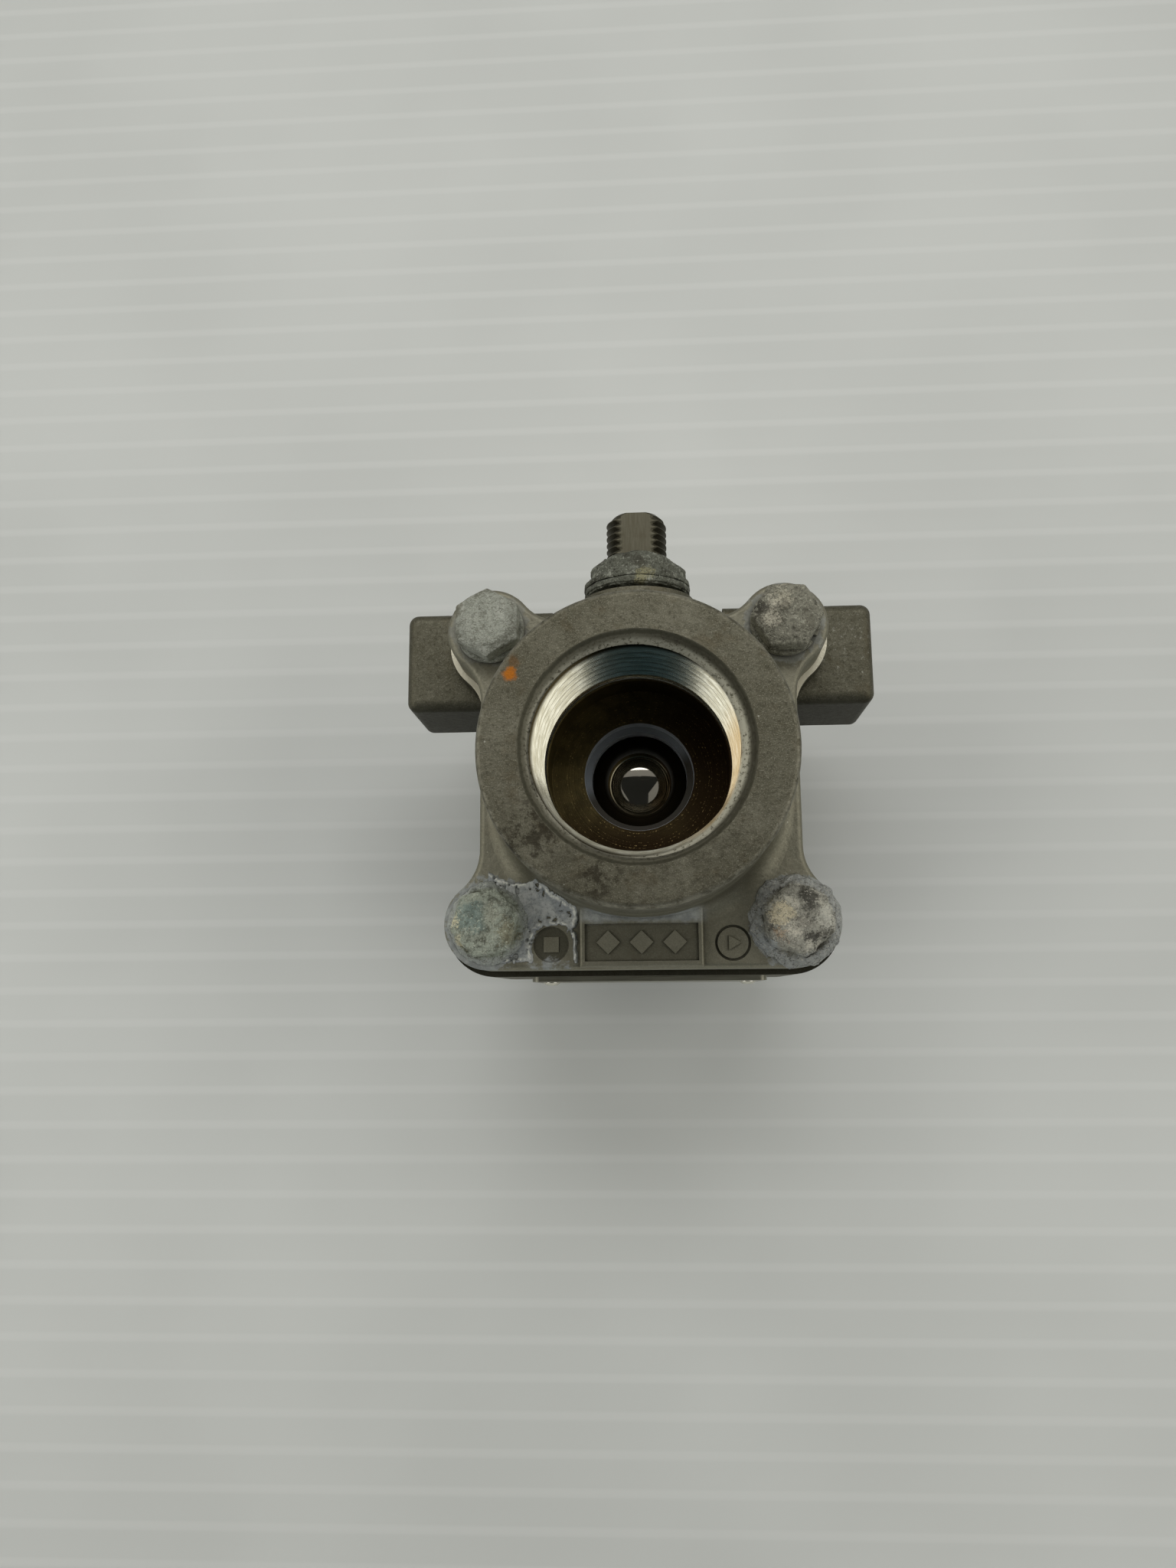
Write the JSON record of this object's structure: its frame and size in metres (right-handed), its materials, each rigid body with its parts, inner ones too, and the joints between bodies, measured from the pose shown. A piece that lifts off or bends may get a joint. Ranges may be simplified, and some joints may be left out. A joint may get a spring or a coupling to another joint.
{
  "type": "ball valve",
  "caption": "Three-piece bolted ball valve with female pipe-thread ends, a bare threaded stem and side mounting ears, shown closed.",
  "frame": {"origin": "centre of the rear end face, on which the valve stands", "axes": "+Z along the bore axis, out of the front port; +Y along the stem, towards its free end; +X to the right of the front face"},
  "size_m": [0.0814, 0.0856, 0.086],
  "materials": {
    "cast_stainless": "investment-cast stainless, dull and fine-grained, machined faces bright",
    "polished_ball": "mirror-polished stainless",
    "seat_ptfe": "machined seat polymer, satin",
    "seal_ptfe": "moulded sealing polymer, matt",
    "stem_steel": "turned stainless, dulled",
    "spring_steel": "spring steel under a pale crust",
    "zinc_fastener": "zinc-plated steel, weathered with white bloom",
    "zinc_washer": "zinc-plated steel, weathered with white bloom",
    "plate_metal": "thin sheet, brushed, left blank",
    "plate_pin": "bright drive pin"
  },
  "bodies": {
    "valve_body": {"body": "cast_stainless", "front_cap": "cast_stainless", "rear_cap": "cast_stainless", "front_seat": "seat_ptfe", "rear_seat": "seat_ptfe", "front_body_seal": "seal_ptfe", "rear_body_seal": "seal_ptfe", "stem_thrust_washer": "seal_ptfe", "packing_lower": "seal_ptfe", "packing_middle": "seal_ptfe", "packing_upper": "seal_ptfe", "gland_ring": "stem_steel", "nameplate": "plate_metal", "nameplate_pin_left": "plate_pin", "nameplate_pin_right": "plate_pin", "body_bolt_1": "zinc_fastener", "front_lock_washer_1": "zinc_washer", "rear_lock_washer_1": "zinc_washer", "hex_nut_1": "zinc_fastener", "body_bolt_2": "zinc_fastener", "front_lock_washer_2": "zinc_washer", "rear_lock_washer_2": "zinc_washer", "hex_nut_2": "zinc_fastener", "body_bolt_3": "zinc_fastener", "front_lock_washer_3": "zinc_washer", "rear_lock_washer_3": "zinc_washer", "hex_nut_3": "zinc_fastener", "body_bolt_4": "zinc_fastener", "front_lock_washer_4": "zinc_washer", "rear_lock_washer_4": "zinc_washer", "hex_nut_4": "zinc_fastener"},
    "stem_assembly": {"stem": "stem_steel", "gland_nut": "zinc_fastener", "belleville_lower": "spring_steel", "belleville_upper": "spring_steel"},
    "ball_body": {"ball": "polished_ball"}
  },
  "joints": [
    {"name": "stem_turn", "type": "hinge", "parent": "valve_body", "child": "stem_assembly", "pos_m": [0, 0.035, 0.043], "axis": [0, 1, 0], "range_deg": [0, 90]},
    {"name": "ball_turn", "type": "hinge", "parent": "valve_body", "child": "ball_body", "pos_m": [0, 0, 0.043], "axis": [0, 1, 0], "range_deg": [0, 90]}
  ],
  "couplings": [
    {"joint": "ball_turn", "follows": "stem_turn", "ratio": 1}
  ]
}
